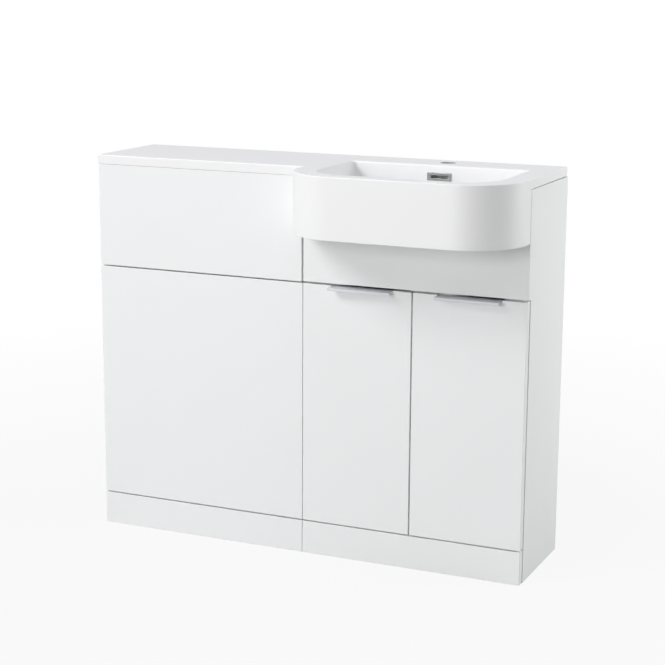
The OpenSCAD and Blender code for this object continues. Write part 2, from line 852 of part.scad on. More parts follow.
wc_side_left();
wc_side_right();
color(board_white) rail(wc_rails[0]);  // wc_rail_top_front
color(board_white) rail(wc_rails[1]);  // wc_rail_top_back
color(board_white) rail(wc_rails[2]);  // wc_rail_middle
color(board_white) rail(wc_rails[3]);  // wc_rail_bottom
wc_upper_panel();
wc_lower_panel();
wc_plinth();
upper_panel_studs();
fixed_front_studs();
stud_sockets();
vanity_side_left();
vanity_side_right();
vanity_base();
color(board_white) rail(vanity_rails[0]);  // vanity_rail_front
color(board_white) rail(vanity_rails[1]);  // vanity_rail_back_top
color(board_white) rail(vanity_rails[2]);  // vanity_rail_back_bottom
color(board_white) rail(vanity_rails[3]);  // vanity_rail_plinth
vanity_fascia();
vanity_plinth();
shelf();
shelf_pins();
door(0);  // door_left
door(1);  // door_right
handle(0);  // handle_left
handle(1);  // handle_right
handle_screws(0);  // handle_screws_left
handle_screws(1);  // handle_screws_right
hinge_cups(0);  // hinge_cups_left
hinge_cups(1);  // hinge_cups_right
cup_screws(0);  // cup_screws_left
cup_screws(1);  // cup_screws_right
hinge_links(0);  // hinge_links_left
hinge_links(1);  // hinge_links_right
hinge_arms();
hinge_pins();
hinge_plates();
plate_screws();
door_bumpers(0);  // door_bumpers_left
door_bumpers(1);  // door_bumpers_right
basin_top();
overflow_cover();
overflow_elbow();
unit_connectors();
wall_brackets();
bracket_screws();
cams();
cam_bolts();
dowels();
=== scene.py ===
import json
from math import cos, pi, radians, sin

import bmesh
import bpy
from mathutils import Matrix, Vector

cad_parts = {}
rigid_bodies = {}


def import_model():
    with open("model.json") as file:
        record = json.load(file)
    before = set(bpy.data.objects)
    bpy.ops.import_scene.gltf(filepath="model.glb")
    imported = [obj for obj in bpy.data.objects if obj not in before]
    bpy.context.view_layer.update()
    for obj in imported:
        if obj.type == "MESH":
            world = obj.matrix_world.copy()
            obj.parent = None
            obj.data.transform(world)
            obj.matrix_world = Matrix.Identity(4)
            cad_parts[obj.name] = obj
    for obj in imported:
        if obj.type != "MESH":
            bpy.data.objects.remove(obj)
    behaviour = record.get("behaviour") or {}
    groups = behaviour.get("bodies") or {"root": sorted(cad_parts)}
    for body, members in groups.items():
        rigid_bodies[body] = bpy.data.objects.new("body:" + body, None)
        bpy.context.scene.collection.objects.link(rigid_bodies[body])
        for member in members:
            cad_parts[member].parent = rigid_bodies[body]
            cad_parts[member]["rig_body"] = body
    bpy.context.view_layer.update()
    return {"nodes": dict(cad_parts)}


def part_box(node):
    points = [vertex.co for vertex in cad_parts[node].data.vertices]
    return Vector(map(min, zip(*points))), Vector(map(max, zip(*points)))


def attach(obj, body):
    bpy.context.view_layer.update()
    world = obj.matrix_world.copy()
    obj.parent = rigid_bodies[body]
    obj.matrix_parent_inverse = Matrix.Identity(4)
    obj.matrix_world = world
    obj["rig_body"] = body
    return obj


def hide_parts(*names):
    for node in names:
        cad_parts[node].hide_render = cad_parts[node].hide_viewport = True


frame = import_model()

nodes = frame["nodes"]
print("frame loaded:", len(nodes), "nodes")


# small tools

near = 1e-5   # two places nearer than this are the same
past = 0.01   # how far a cutter reaches past the surface that it opens
sharp = 40    # degrees between two faces that count as a corner


def hexColour(text):  # sRGB hex to the linear colour that the shaders take
    parts = [int(text[i:i + 2], 16) / 255 for i in (1, 3, 5)]
    return [c / 12.92 if c <= 0.04045 else ((c + 0.055) / 1.055) ** 2.4 for c in parts] + [1.0]


def perMetre(millimetres):  # pattern scale on Object coordinates for a feature of this size
    return 1000 / millimetres


def addNode(tree, kind, values=None, links=None, **settings):
    node = tree.nodes.new(kind)
    for name, value in settings.items():
        setattr(node, name, value)
    for socket, value in (values or {}).items():
        node.inputs[socket].default_value = value
    for socket, source in (links or {}).items():
        tree.links.new(source, node.inputs[socket])
    return node


def newMaterial(name, **sockets):  # constants go straight on the Principled shader
    material = bpy.data.materials.new(name)
    material.use_nodes = True
    shader = material.node_tree.nodes["Principled BSDF"]
    for socket, value in sockets.items():
        shader.inputs[socket.replace("_", " ")].default_value = value
    return material, material.node_tree, shader


def leaveEdit():
    if bpy.context.object and bpy.context.object.mode != "OBJECT":
        bpy.ops.object.mode_set(mode="OBJECT")
    bpy.ops.object.select_all(action="DESELECT")


def only(piece):  # this piece alone is selected and active
    leaveEdit()
    piece.select_set(True)
    bpy.context.view_layer.objects.active = piece


def edit(piece):
    only(piece)
    bpy.ops.object.mode_set(mode="EDIT")


def pick(piece, kind, test):  # select what passes the test, in edit mode
    bpy.ops.mesh.select_mode(type=kind)
    bpy.ops.mesh.select_all(action="DESELECT")
    shape = bmesh.from_edit_mesh(piece.data)
    shape.normal_update()
    parts = {"VERT": shape.verts, "EDGE": shape.edges, "FACE": shape.faces}[kind]
    found = [part for part in parts if test(part)]
    for part in found:
        part.select_set(True)
    bmesh.update_edit_mesh(piece.data)
    return len(found)


def middle(edge):
    return (edge.verts[0].co + edge.verts[1].co) / 2


def level(edge, height):  # both ends of the edge lie at this height
    return all(abs(v.co.z - height) < near for v in edge.verts)


def turn(edge):  # angle between the edge's two faces, in degrees
    return edge.calc_face_angle(0) * 180 / pi if len(edge.link_faces) == 2 else 0


def newPlane(name, x, y, z):  # a rectangle; the axis given as one number is the one it faces
    leaveEdit()
    spans = [v if isinstance(v, (list, tuple)) else (v, v) for v in (x, y, z)]
    centre = [(a + b) / 2 for a, b in spans]
    wide = [b - a for a, b in spans]
    if wide[2] == 0:
        size, spin = (wide[0], wide[1], 1), (0, 0, 0)
    elif wide[1] == 0:
        size, spin = (wide[0], wide[2], 1), (pi / 2, 0, 0)
    else:
        size, spin = (wide[1], wide[2], 1), (pi / 2, 0, pi / 2)
    bpy.ops.mesh.primitive_plane_add(size=1, location=centre, rotation=spin)
    piece = bpy.context.object
    piece.name = name
    piece.scale = size
    bpy.ops.object.transform_apply(location=True, rotation=True, scale=True)
    return piece


def newRod(name, centre, radius, depth, axis="Z", sides=64):  # a cylinder, mostly used to cut
    leaveEdit()
    spin = {"X": (0, pi / 2, 0), "Y": (pi / 2, 0, 0), "Z": (0, 0, 0)}[axis]
    bpy.ops.mesh.primitive_cylinder_add(vertices=sides, radius=radius, depth=depth,
                                        location=centre, rotation=spin)
    piece = bpy.context.object
    piece.name = name
    bpy.ops.object.transform_apply(location=True, rotation=True, scale=True)
    return piece


def pickAll():
    bpy.ops.mesh.select_all(action="SELECT")


def extrude(move):
    bpy.ops.mesh.extrude_region_move(TRANSFORM_OT_translate={"value": move})


def faceOutwards():
    pickAll()
    bpy.ops.mesh.normals_make_consistent(inside=False)


def roundCorners(radius, steps):  # rounds the picked corners of a flat shape
    bpy.ops.mesh.bevel(offset=radius, segments=steps, affect="VERTICES")


def roundEdges(radius, steps):  # rounds the picked edges of a solid
    bpy.ops.mesh.bevel(offset=radius, segments=steps, affect="EDGES", clamp_overlap=False)


def roundedBlock(flat, radius, steps, move):  # a rectangle, corners rounded, then made a solid
    edit(flat)
    pickAll()
    roundCorners(radius, steps)
    pickAll()
    extrude(move)
    faceOutwards()
    leaveEdit()
    return flat


def applyModifier(piece, kind, **settings):
    only(piece)
    modifier = piece.modifiers.new(kind.title(), kind)
    for name, value in settings.items():
        setattr(modifier, name, value)
    bpy.ops.object.modifier_apply(modifier=modifier.name)


def combine(piece, tool, operation):  # join or cut with a second closed shape, which is used up
    applyModifier(piece, "BOOLEAN", operation=operation, object=tool, solver="EXACT")
    bpy.data.objects.remove(tool)


def smooth(piece, degrees=32):  # soft shading on curves, flat faces kept flat
    only(piece)
    bpy.ops.object.shade_smooth_by_angle(angle=radians(degrees))
    applyModifier(piece, "WEIGHTED_NORMAL", keep_sharp=True, weight=80)


def finish(piece, material, body, slotName, *stoodFor):
    piece.data.materials.clear()
    piece.data.materials.append(material)
    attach(piece, body)
    if stoodFor:
        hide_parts(*stoodFor)
    return piece


def softCopy(node, ending, radius, steps=3, shortest=0.0026, backRadius=0.0):
    # a merged copy of a CAD node with its long sharp edges rounded, less at the back where asked
    leaveEdit()
    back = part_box(node)[1].y
    atBack = lambda e: backRadius > 0 and all(v.co.y > back - near for v in e.verts)
    piece = bpy.data.objects.new(node + ending, nodes[node].data.copy())
    bpy.context.collection.objects.link(piece)
    edit(piece)
    bpy.ops.mesh.customdata_custom_splitnormals_clear()
    pickAll()
    bpy.ops.mesh.remove_doubles(threshold=1e-6)
    bpy.ops.mesh.dissolve_limited(angle_limit=radians(0.3))
    isSoft = lambda e: turn(e) > sharp and e.calc_length() > shortest and not atBack(e)
    if pick(piece, "EDGE", isSoft):
        bpy.ops.mesh.bevel(offset=radius, offset_type="OFFSET", segments=steps, profile=0.5,
                           affect="EDGES", clamp_overlap=False, miter_outer="SHARP")
    if backRadius and pick(piece, "EDGE", lambda e: turn(e) > sharp and atBack(e)):
        bpy.ops.mesh.bevel(offset=backRadius, offset_type="OFFSET", segments=1, affect="EDGES",
                           clamp_overlap=False)
    leaveEdit()
    return piece


def solidBoxes(node):  # the box of each separate solid of a CAD node
    shape = bmesh.new()
    shape.from_mesh(nodes[node].data)
    bmesh.ops.remove_doubles(shape, verts=shape.verts, dist=1e-6)
    waiting, boxes = set(shape.verts), []
    while waiting:
        island, edge = set(), [waiting.pop()]
        while edge:
            vert = edge.pop()
            island.add(vert.co.copy().freeze())
            for line in vert.link_edges:
                other = line.other_vert(vert)
                if other in waiting:
                    waiting.remove(other)
                    edge.append(other)
        low = Vector([min(p[i] for p in island) for i in range(3)])
        high = Vector([max(p[i] for p in island) for i in range(3)])
        boxes.append((low, high))
    shape.free()
    return sorted(boxes, key=lambda b: tuple(round(c, 5) for c in b[0]))


def placeCopy(model, name, place, towards):  # own mesh, its +Z turned to point towards
    piece = bpy.data.objects.new(name, model.data.copy())
    bpy.context.collection.objects.link(piece)
    turned = Vector(towards).to_track_quat("Z", "Y").to_matrix().to_4x4()
    piece.data.transform(Matrix.Translation(place) @ turned)
    return piece


# camera

cameraView = {"place": (1.4991, -3.2656, 1.2613), "turned": (77.78, -0.32, 24.06), "lens": 91.75}
bpy.ops.object.camera_add(location=cameraView["place"],
                          rotation=[radians(angle) for angle in cameraView["turned"]])
camera = bpy.context.object
camera.data.sensor_width = 36
camera.data.lens = cameraView["lens"]
camera.data.clip_end = 100
bpy.context.scene.camera = camera
print("camera set")


# materials

def makeSkin(name, wave, height, shades, patch, rough, **sockets):
    # the skin of anything sprayed, plated or moulded: slow waves, two near shades, uneven gloss
    material, tree, shader = newMaterial(name, **sockets)
    place = addNode(tree, "ShaderNodeTexCoord")
    waves = addNode(tree, "ShaderNodeTexNoise",
                    {"Scale": perMetre(wave), "Detail": 2.0, "Roughness": 0.4},
                    {"Vector": place.outputs["Object"]})
    bump = addNode(tree, "ShaderNodeBump", {"Strength": 0.6, "Distance": height / 1000},
                   {"Height": waves.outputs["Fac"]})
    clouds = addNode(tree, "ShaderNodeTexNoise", {"Scale": perMetre(patch), "Detail": 2.0},
                     {"Vector": place.outputs["Object"]})
    shade = addNode(tree, "ShaderNodeMix", {"A": hexColour(shades[0]), "B": hexColour(shades[1])},
                    {"Factor": clouds.outputs["Fac"]}, data_type="RGBA")
    gloss = addNode(tree, "ShaderNodeMapRange",
                    {"From Min": 0.3, "From Max": 0.7, "To Min": rough[0], "To Max": rough[1]},
                    {"Value": clouds.outputs["Fac"]})
    tree.links.new(shade.outputs["Result"], shader.inputs["Base Color"])
    tree.links.new(gloss.outputs["Result"], shader.inputs["Roughness"])
    tree.links.new(bump.outputs["Normal"], shader.inputs["Normal"])
    return material


def makeChipboard():
    # sawn edge of particle board: pressed wood chips of 1 to 4 mm with dark gaps
    material, tree, shader = newMaterial("sawnChipboard", IOR=1.45, Roughness=0.85)
    place = addNode(tree, "ShaderNodeTexCoord")
    chips = addNode(tree, "ShaderNodeTexVoronoi", {"Scale": perMetre(3.2), "Randomness": 1.0},
                    {"Vector": place.outputs["Object"]})
    pickOne = addNode(tree, "ShaderNodeSeparateColor", {}, {"Color": chips.outputs["Color"]})
    woods = addNode(tree, "ShaderNodeMix", {"A": hexColour("#b08c62"), "B": hexColour("#d9bd92")},
                    {"Factor": pickOne.outputs["Red"]}, data_type="RGBA")
    specks = addNode(tree, "ShaderNodeTexNoise", {"Scale": perMetre(1.2), "Detail": 3.0},
                     {"Vector": place.outputs["Object"]})
    darker = addNode(tree, "ShaderNodeMapRange",
                     {"From Min": 0.62, "From Max": 0.7, "To Min": 0.0, "To Max": 0.7},
                     {"Value": specks.outputs["Fac"]})
    mixed = addNode(tree, "ShaderNodeMix", {"B": hexColour("#6d5034")},
                    {"Factor": darker.outputs["Result"], "A": woods.outputs["Result"]},
                    data_type="RGBA")
    bump = addNode(tree, "ShaderNodeBump", {"Strength": 0.8, "Distance": 0.0003},
                   {"Height": chips.outputs["Distance"]})
    tree.links.new(mixed.outputs["Result"], shader.inputs["Base Color"])
    tree.links.new(bump.outputs["Normal"], shader.inputs["Normal"])
    return material


def makeSatinAluminium():
    # aluminium strip brushed along X, under a pale silver lacquer that scatters most of the light
    material, tree, shader = newMaterial("satinAluminium", Metallic=0.1, Anisotropic=0.3)
    place = addNode(tree, "ShaderNodeTexCoord")
    stretch = addNode(tree, "ShaderNodeMapping", {"Scale": (0.02, 1.0, 1.0)},
                      {"Vector": place.outputs["Object"]})
    lines = addNode(tree, "ShaderNodeTexNoise", {"Scale": perMetre(0.9), "Detail": 3.0},
                    {"Vector": stretch.outputs["Vector"]})  # 0.1 mm on a real strip, drawn coarser
    tones = addNode(tree, "ShaderNodeMix", {"A": hexColour("#dadadf"), "B": hexColour("#e4e4e9")},
                    {"Factor": lines.outputs["Fac"]}, data_type="RGBA")
    gloss = addNode(tree, "ShaderNodeMapRange",
                    {"From Min": 0.3, "From Max": 0.7, "To Min": 0.5, "To Max": 0.62},
                    {"Value": lines.outputs["Fac"]})
    bump = addNode(tree, "ShaderNodeBump", {"Strength": 0.3, "Distance": 0.00002},
                   {"Height": lines.outputs["Fac"]})
    tree.links.new(tones.outputs["Result"], shader.inputs["Base Color"])
    tree.links.new(gloss.outputs["Result"], shader.inputs["Roughness"])
    tree.links.new(bump.outputs["Normal"], shader.inputs["Normal"])
    return material


def makeBeech():
    # turned beech dowel: pale wood with short darker flecks along its length
    material, tree, shader = newMaterial("beechDowel", IOR=1.45, Roughness=0.6)
    place = addNode(tree, "ShaderNodeTexCoord")
    stretch = addNode(tree, "ShaderNodeMapping", {"Scale": (0.12, 1.0, 1.0)},
                      {"Vector": place.outputs["Object"]})
    flecks = addNode(tree, "ShaderNodeTexNoise", {"Scale": perMetre(1.5), "Detail": 4.0},
                     {"Vector": stretch.outputs["Vector"]})
    woods = addNode(tree, "ShaderNodeMix", {"A": hexColour("#c29a68"), "B": hexColour("#e2c59a")},
                    {"Factor": flecks.outputs["Fac"]}, data_type="RGBA")
    tree.links.new(woods.outputs["Result"], shader.inputs["Base Color"])
    return material


# each skin: name, wave length and height in mm, two shades, patch in mm, roughness from and to

# MDF front sprayed with white lacquer: even colour, faint orange peel
glossFront = makeSkin("glossLacquer", 4, 0.012, ("#f4f5f5", "#f5f6f6"), 160, (0.3, 0.36), IOR=1.5)
# particle board with white melamine paper pressed on: satin, its 0.6 mm pearl grain drawn at 1.6 mm
melamine = makeSkin("whiteMelamine", 1.6, 0.012, ("#f2f3f2", "#f4f5f4"), 90, (0.4, 0.5), IOR=1.5)
# polymer marble cast against a polished mould under a white gel coat: silky, with long soft waves
castMarble = makeSkin("gelCoatedMarble", 22, 0.03, ("#f4f4f4", "#f5f5f5"), 120, (0.42, 0.5),
                      IOR=1.5)
# the same casting where the mould was open or drilled: bare filler, greyer and matt; on the holes'
# walls this grey is also painted shade
greyCastingAndHoleShade = makeSkin("greyCastingHoleShade", 2.5, 0.15, ("#b0aea6", "#bfbdb6"), 14, (0.7, 0.85), IOR=1.5)
# polished chrome plate on moulded plastic: mirror with faint wipe marks
chrome = makeSkin("chromePlate", 9, 0.004, ("#bababb", "#c4c4c5"), 6, (0.08, 0.16), Metallic=1.0)
# pressed steel plated with nickel: bright, slightly clouded by the bath
nickel = makeSkin("nickelPlate", 7, 0.004, ("#bdbab3", "#c9c6c0"), 9, (0.24, 0.36), Metallic=1.0)
# injection-moulded nylon: fine grain of the spark-eroded mould
nylon = makeSkin("whiteNylon", 1.2, 0.02, ("#dfdfdb", "#ecece8"), 9, (0.4, 0.52), IOR=1.53)
# soft polyurethane dot: slightly cloudy and rubbery
bumperPad = makeSkin("softBumper", 1.5, 0.02, ("#d9dad6", "#e6e7e3"), 5, (0.3, 0.4), IOR=1.5)
handleMetal = makeSatinAluminium()
chipboard = makeChipboard()
beech = makeBeech()
print("materials made")


# boards: fronts, sides, rails, base and shelf

boardEdges = {"frontRadius": 0.001, "frontSteps": 4, "frontBack": 0.0003,
              "carcassRadius": 0.0004, "carcassSteps": 2}
frontBoards = ("wc_upper_panel", "wc_lower_panel", "wc_plinth", "vanity_fascia", "vanity_plinth",
               "door_left", "door_right")
sideBoards = ("wc_side_left", "wc_side_right", "vanity_side_left", "vanity_side_right")
railBoards = ("wc_rail_top_front", "wc_rail_top_back", "wc_rail_middle", "wc_rail_bottom",
              "vanity_rail_front", "vanity_rail_back_top", "vanity_rail_back_bottom",
              "vanity_rail_plinth")
laidBoards = ("vanity_base", "shelf")

# edges set over from the CAD board, so that gaps look as wide as in the photo: for each
# board a test on a point and the board's box, then the move
gaps = {"seam": 0.0004, "sides": 0.0008, "underTop": 0.0008, "openFrom": 0.1,
        "frontReach": 0.0012, "carcassReach": 0.0008}  # the last two take in an edge's rounding
setOver = {
    "wc_lower_panel": [(lambda p, low, high: p.x > high.x - gaps["frontReach"],
                        (gaps["seam"], 0, 0))],
    "door_left": [(lambda p, low, high: p.x < low.x + gaps["frontReach"],
                   (-gaps["seam"], 0, 0))],
    "vanity_side_right": [(lambda p, low, high: p.z > high.z - gaps["carcassReach"]
                           and p.y > gaps["openFrom"], (0, 0, -gaps["underTop"]))],
}
for node in sideBoards:
    setOver.setdefault(node, []).append((lambda p, low, high: p.y < low.y + gaps["carcassReach"],
                                         (0, -gaps["sides"], 0)))


def shiftEdges(piece, node):
    low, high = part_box(node)
    for test, move in setOver.get(node, []):
        edit(piece)
        pick(piece, "VERT", lambda v: test(v.co, low, high))
        bpy.ops.transform.translate(value=move)
        leaveEdit()


def makeFront(node):
    piece = softCopy(node, "_board", boardEdges["frontRadius"], boardEdges["frontSteps"],
                     backRadius=boardEdges["frontBack"])
    shiftEdges(piece, node)
    smooth(piece)
    return finish(piece, glossFront, nodes[node]["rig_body"], "gloss_fronts", node)


def makeCarcassBoard(node, sawn):
    # sawn tells which faces show the bare particle board
    piece = softCopy(node, "_board", boardEdges["carcassRadius"], boardEdges["carcassSteps"])
    shiftEdges(piece, node)
    smooth(piece)
    finish(piece, melamine, nodes[node]["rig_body"], "lacquered_board", node)
    piece.data.materials.append(chipboard)
    low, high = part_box(node)
    for part in piece.data.polygons:
        if sawn(part.normal, part.center, low, high):
            part.material_index = 1
    return piece


def backEdge(normal, centre, low, high):
    return normal.y > 0.9 and centre.y > high.y - 0.001


def upperEdge(normal, centre, low, high):
    return normal.z > 0.9 and centre.z > high.z - 0.001


def backAndFoot(normal, centre, low, high):
    return backEdge(normal, centre, low, high) or (normal.z < -0.9 and centre.z < low.z + 0.001)


for node in frontBoards:
    makeFront(node)
for node in sideBoards:
    makeCarcassBoard(node, backAndFoot)
for node in railBoards:
    makeCarcassBoard(node, upperEdge)
for node in laidBoards:
    makeCarcassBoard(node, backEdge)
print("boards made")


# basin top, cast in one piece

basin = {
    "farLeft": -0.501, "left": 0.0, "right": 0.501,  # ends of the slab, and the basin's left side
    "front": -0.2, "face": -0.055, "slabBack": 0.189,
    "top": 0.85, "slabFoot": 0.83, "apronFoot": 0.72,
    "cornerRadius": 0.125, "cornerSteps": 40,
    "apronWall": 0.012, "apronGap": 0.0022,
    "bowlLeft": 0.046, "bowlRight": 0.455, "bowlFront": -0.16, "bowlBack": 0.093,
    "bowlFloor": 0.7425, "bowlWall": 0.01,
    "draft": (0.030, 0.0115, 0.002),                 # how far sides, front and back lean in
    "floorFillet": 0.034, "filletSteps": 10,
    "frontRadius": 0.08, "frontShrink": 0.028,       # front corners, tighter towards the floor
    "backRadius": 0.008, "backGrow": (0.004, 0.02),  # back corners, wider below the rim and lower
    "tapCentre": (0.2505, 0.146), "tapRadius": 0.0175, "tapSoft": 0.0015,
    "wasteCentre": (0.2505, -0.0215), "wasteRadius": 0.0225,
    "seatRadius": 0.034, "seatDeep": 0.0015,         # ring let into the floor for the flange
    "slot": {"wide": 0.04, "low": 0.821, "high": 0.829, "corner": 0.0035, "deep": 0.03},
    "drill": 0.08,                                   # length of the cutters
    "rimSoft": 0.0025, "mouthSoft": 0.004, "footSoft": 0.0025, "endSoft": 0.0018,
    "coat": 0.004,                                   # how far the gel coat goes round the apron
}


def bowlRing(name, height, sides, front, back, frontRadius, backRadius, wall=0.0):
    # one level of the bowl: a rectangle with its corners rounded, left as a wire
    ring = newPlane(name, (basin["bowlLeft"] + sides - wall, basin["bowlRight"] - sides + wall),
                    (basin["bowlFront"] + front - wall, basin["bowlBack"] - back + wall), height)
    middleY = (basin["bowlFront"] + basin["bowlBack"]) / 2
    edit(ring)
    pick(ring, "VERT", lambda v: v.co.y < middleY)
    roundCorners(frontRadius + wall, 20)
    pick(ring, "VERT", lambda v: v.co.y > basin["bowlBack"] - back + wall - near)
    roundCorners(backRadius + wall, 12)
    bpy.ops.mesh.select_mode(type="FACE")
    pickAll()
    bpy.ops.mesh.delete(type="ONLY_FACE")
    leaveEdit()
    return ring


def bowlShape(name, top, wall=0.0):
    # the bowl as a closed solid, from the rim through the floor's fillet to the floor
    side, front, back = basin["draft"]
    fillet = basin["floorFillet"]
    floor = basin["bowlFloor"] - wall
    frontRadius, backRadius = basin["frontRadius"], basin["backRadius"]
    below, atFloor = basin["backGrow"]
    rings = [bowlRing("level", top, 0, 0, 0, frontRadius, backRadius, wall)]
    for step in range(basin["filletSteps"] + 1):
        angle = step / basin["filletSteps"] * pi / 2
        bend = 1 - cos(angle)
        inward, rise = (fillet + wall) * bend, (fillet + wall) * (1 - sin(angle))
        rings.append(bowlRing("level", floor + rise, side + inward, front + inward, back + inward,
                              frontRadius - basin["frontShrink"] * bend,
                              backRadius + below + atFloor * bend, wall))
    leaveEdit()
    for ring in rings:
        ring.select_set(True)
    bpy.context.view_layer.objects.active = rings[0]
    bpy.ops.object.join()
    shape = rings[0]
    shape.name = name
    edit(shape)
    corners = bmesh.from_edit_mesh(shape.data).verts
    heights = sorted({round(v.co.z, 6) for v in corners}, reverse=True)
    for upper, lower in zip(heights, heights[1:]):
        pick(shape, "EDGE", lambda e: level(e, upper) or level(e, lower))
        bpy.ops.mesh.bridge_edge_loops()
    for height in (heights[0], heights[-1]):
        pick(shape, "EDGE", lambda e: level(e, height))
        bpy.ops.mesh.edge_face_add()
    faceOutwards()
    leaveEdit()
    return shape


def overBowl(spot):  # inside the bowl's outline, seen from above
    edge = 1e-4
    return basin["bowlLeft"] - edge < spot.x < basin["bowlRight"] + edge and \
        basin["bowlFront"] - edge < spot.y < basin["bowlBack"] + edge


def uncoatedOrHoleShade(spot, way):  # holes' walls, underside and the apron's inside have no gel coat; on the holes' walls the bare grey is also painted shade
    b = basin
    if any((spot.xy - Vector(b[centre])).length < b[radius] + 0.0006 and abs(way.z) < 0.5
           for centre, radius in (("tapCentre", "tapRadius"), ("wasteCentre", "wasteRadius"))):
        return True
    if spot.z > b["slabFoot"] - 0.001:
        return way.z < -0.9
    reach = b["cornerRadius"]
    straight = Vector((min(max(spot.x, b["left"] + reach), b["right"] - reach),
                       max(spot.y, b["front"] + reach)))
    footEnd = b["apronFoot"] + b["footSoft"] + 5e-4
    if (spot.xy - straight).length > reach - b["coat"] or spot.z < footEnd:
        return False  # the apron's face and foot
    towards = Vector(((b["left"] + b["right"]) / 2, b["wasteCentre"][1])) - spot.xy
    return not (overBowl(spot) and (towards.dot(way.xy) > 0 or way.z > 0.5))


def castBlock():  # slab and apron, with the step between them
    b = basin
    top = newPlane("basin_top_cast", (b["farLeft"], b["right"]), (b["face"], b["slabBack"]),
                   b["slabFoot"])
    edit(top)
    bpy.ops.mesh.bisect(plane_co=(b["left"], 0, b["slabFoot"]), plane_no=(1, 0, 0))
    pick(top, "EDGE", lambda e: middle(e).y < b["face"] + near and middle(e).x > b["left"])
    extrude((0, -b["apronGap"], 0))
    extrude((0, b["front"] - b["face"] + b["apronGap"], 0))
    pick(top, "VERT", lambda v: v.co.y < b["front"] + near)
    roundCorners(b["cornerRadius"], b["cornerSteps"])
    pickAll()
    extrude((0, 0, b["top"] - b["slabFoot"]))
    faceOutwards()
    pick(top, "FACE", lambda f: f.normal.z < -0.9
         and f.calc_center_median().y < b["face"] - b["apronGap"])
    extrude((0, 0, b["apronFoot"] - b["slabFoot"]))
    leaveEdit()
    return top


def apronHollow():
    b, wall = basin, basin["apronWall"]
    hollow = newPlane("hollow", (b["left"] + wall, b["right"] - wall),
                      (b["front"] + wall, b["face"] + past), b["apronFoot"] - 2 * past)
    edit(hollow)
    pick(hollow, "VERT", lambda v: v.co.y < b["front"] + wall + near)
    roundCorners(b["cornerRadius"] - wall, b["cornerSteps"])
    pickAll()
    extrude((0, 0, b["slabFoot"] - b["apronFoot"] + 2 * past))
    faceOutwards()
    return hollow


def makeBasinTop():
    b, slot = basin, basin["slot"]
    top = castBlock()
    combine(top, apronHollow(), "DIFFERENCE")
    combine(top, bowlShape("bowlShell", b["top"] - b["bowlWall"], b["bowlWall"]), "UNION")
    combine(top, bowlShape("bowlHollow", b["top"] + 2 * past), "DIFFERENCE")

    x, y = b["tapCentre"]
    combine(top, newRod("tapDrill", (x, y, b["top"]), b["tapRadius"], b["drill"]), "DIFFERENCE")
    x, y = b["wasteCentre"]
    floor = b["bowlFloor"]
    combine(top, newRod("wasteDrill", (x, y, floor), b["wasteRadius"], b["drill"]), "DIFFERENCE")
    combine(top, newRod("wasteSeat", (x, y, floor - b["seatDeep"] + 2 * past), b["seatRadius"],
                        4 * past, sides=96), "DIFFERENCE")
    passage = newPlane("passage", (x - slot["wide"] / 2, x + slot["wide"] / 2),
                       b["bowlBack"] - past, (slot["low"], slot["high"]))
    combine(top, roundedBlock(passage, slot["corner"], 6, (0, slot["deep"], 0)), "DIFFERENCE")

    edit(top)
    pickAll()
    bpy.ops.mesh.remove_doubles(threshold=1e-6)
    bpy.ops.mesh.dissolve_limited(angle_limit=radians(0.3))
    pickAll()
    bpy.ops.mesh.bisect(plane_co=(x, 0, 0), plane_no=(1, 0, 0))  # no face goes round a hole
    atTop = lambda e: level(e, b["top"]) and turn(e) > sharp
    atTap = lambda e: (middle(e).xy - Vector(b["tapCentre"])).length < b["tapRadius"] + 1e-3
    atEnd = lambda e: all(v.co.x < b["farLeft"] + near or v.co.x > b["right"] - near
                          for v in e.verts)
    pick(top, "EDGE", lambda e: atTop(e) and atTap(e))
    roundEdges(b["tapSoft"], 3)
    pick(top, "EDGE", lambda e: atTop(e) and overBowl(middle(e)) and not atTap(e))
    roundEdges(b["mouthSoft"], 6)
    pick(top, "EDGE", lambda e: atTop(e) and not overBowl(middle(e)) and not atTap(e)
         and middle(e).y < b["slabBack"] - 0.001)
    roundEdges(b["rimSoft"], 6)
    pick(top, "EDGE", lambda e: level(e, b["apronFoot"]) and turn(e) > sharp)
    roundEdges(b["footSoft"], 4)
    pick(top, "EDGE", lambda e: level(e, b["slabFoot"]) and turn(e) > sharp and atEnd(e)
         and abs(e.verts[0].co.y - e.verts[1].co.y) > 0.1)
    roundEdges(b["endSoft"], 3)
    leaveEdit()
    smooth(top)
    finish(top, castMarble, "carcass", "cast_marble", "basin_top")
    # bare grey casting on the underside, the apron's inside and the holes' walls, where it is also
    # painted shade
    top.data.materials.append(greyCastingAndHoleShade)
    for part in top.data.polygons:
        part.material_index = int(uncoatedOrHoleShade(part.center, part.normal))
    return top


makeBasinTop()
print("basin top made")


# overflow cover and elbow

cover = {"centre": (0.2505, 0.825), "front": 0.09, "back": 0.093, "size": (0.0548, 0.0178),
         "slot": (0.042, 0.0062), "corner": 0.0012, "slotCorner": 0.001, "soft": 0.0006}


def uprightPlane(name, wide, high, y):  # a rectangle about the cover's centre, facing the bowl
    x, z = cover["centre"]
    return newPlane(name, (x - wide / 2, x + wide / 2), y, (z - high / 2, z + high / 2))


def makeOverflowCover():
    front, thick = cover["front"], cover["back"] - cover["front"]
    plate = roundedBlock(uprightPlane("overflow_cover_plate", *cover["size"], front),
                         cover["corner"], 4, (0, thick, 0))
    slot = roundedBlock(uprightPlane("slot", *cover["slot"], front - past),
                        cover["slotCorner"], 3, (0, 3 * past, 0))
    combine(plate, slot, "DIFFERENCE")
    edit(plate)
    pick(plate, "EDGE", lambda e: turn(e) > 50 and middle(e).y < front + near)
    roundEdges(cover["soft"], 3)
    leaveEdit()
    smooth(plate)
    return finish(plate, chrome, "carcass", "chrome_trim", "overflow_cover")


makeOverflowCover()
elbow = softCopy("overflow_elbow", "_moulded", 0.0015, 3, shortest=0.004)
smooth(elbow)
finish(elbow, nylon, "carcass", "fitting_plastic", "overflow_elbow")
print("overflow made")


# door pulls, folded from one strip of sheet each

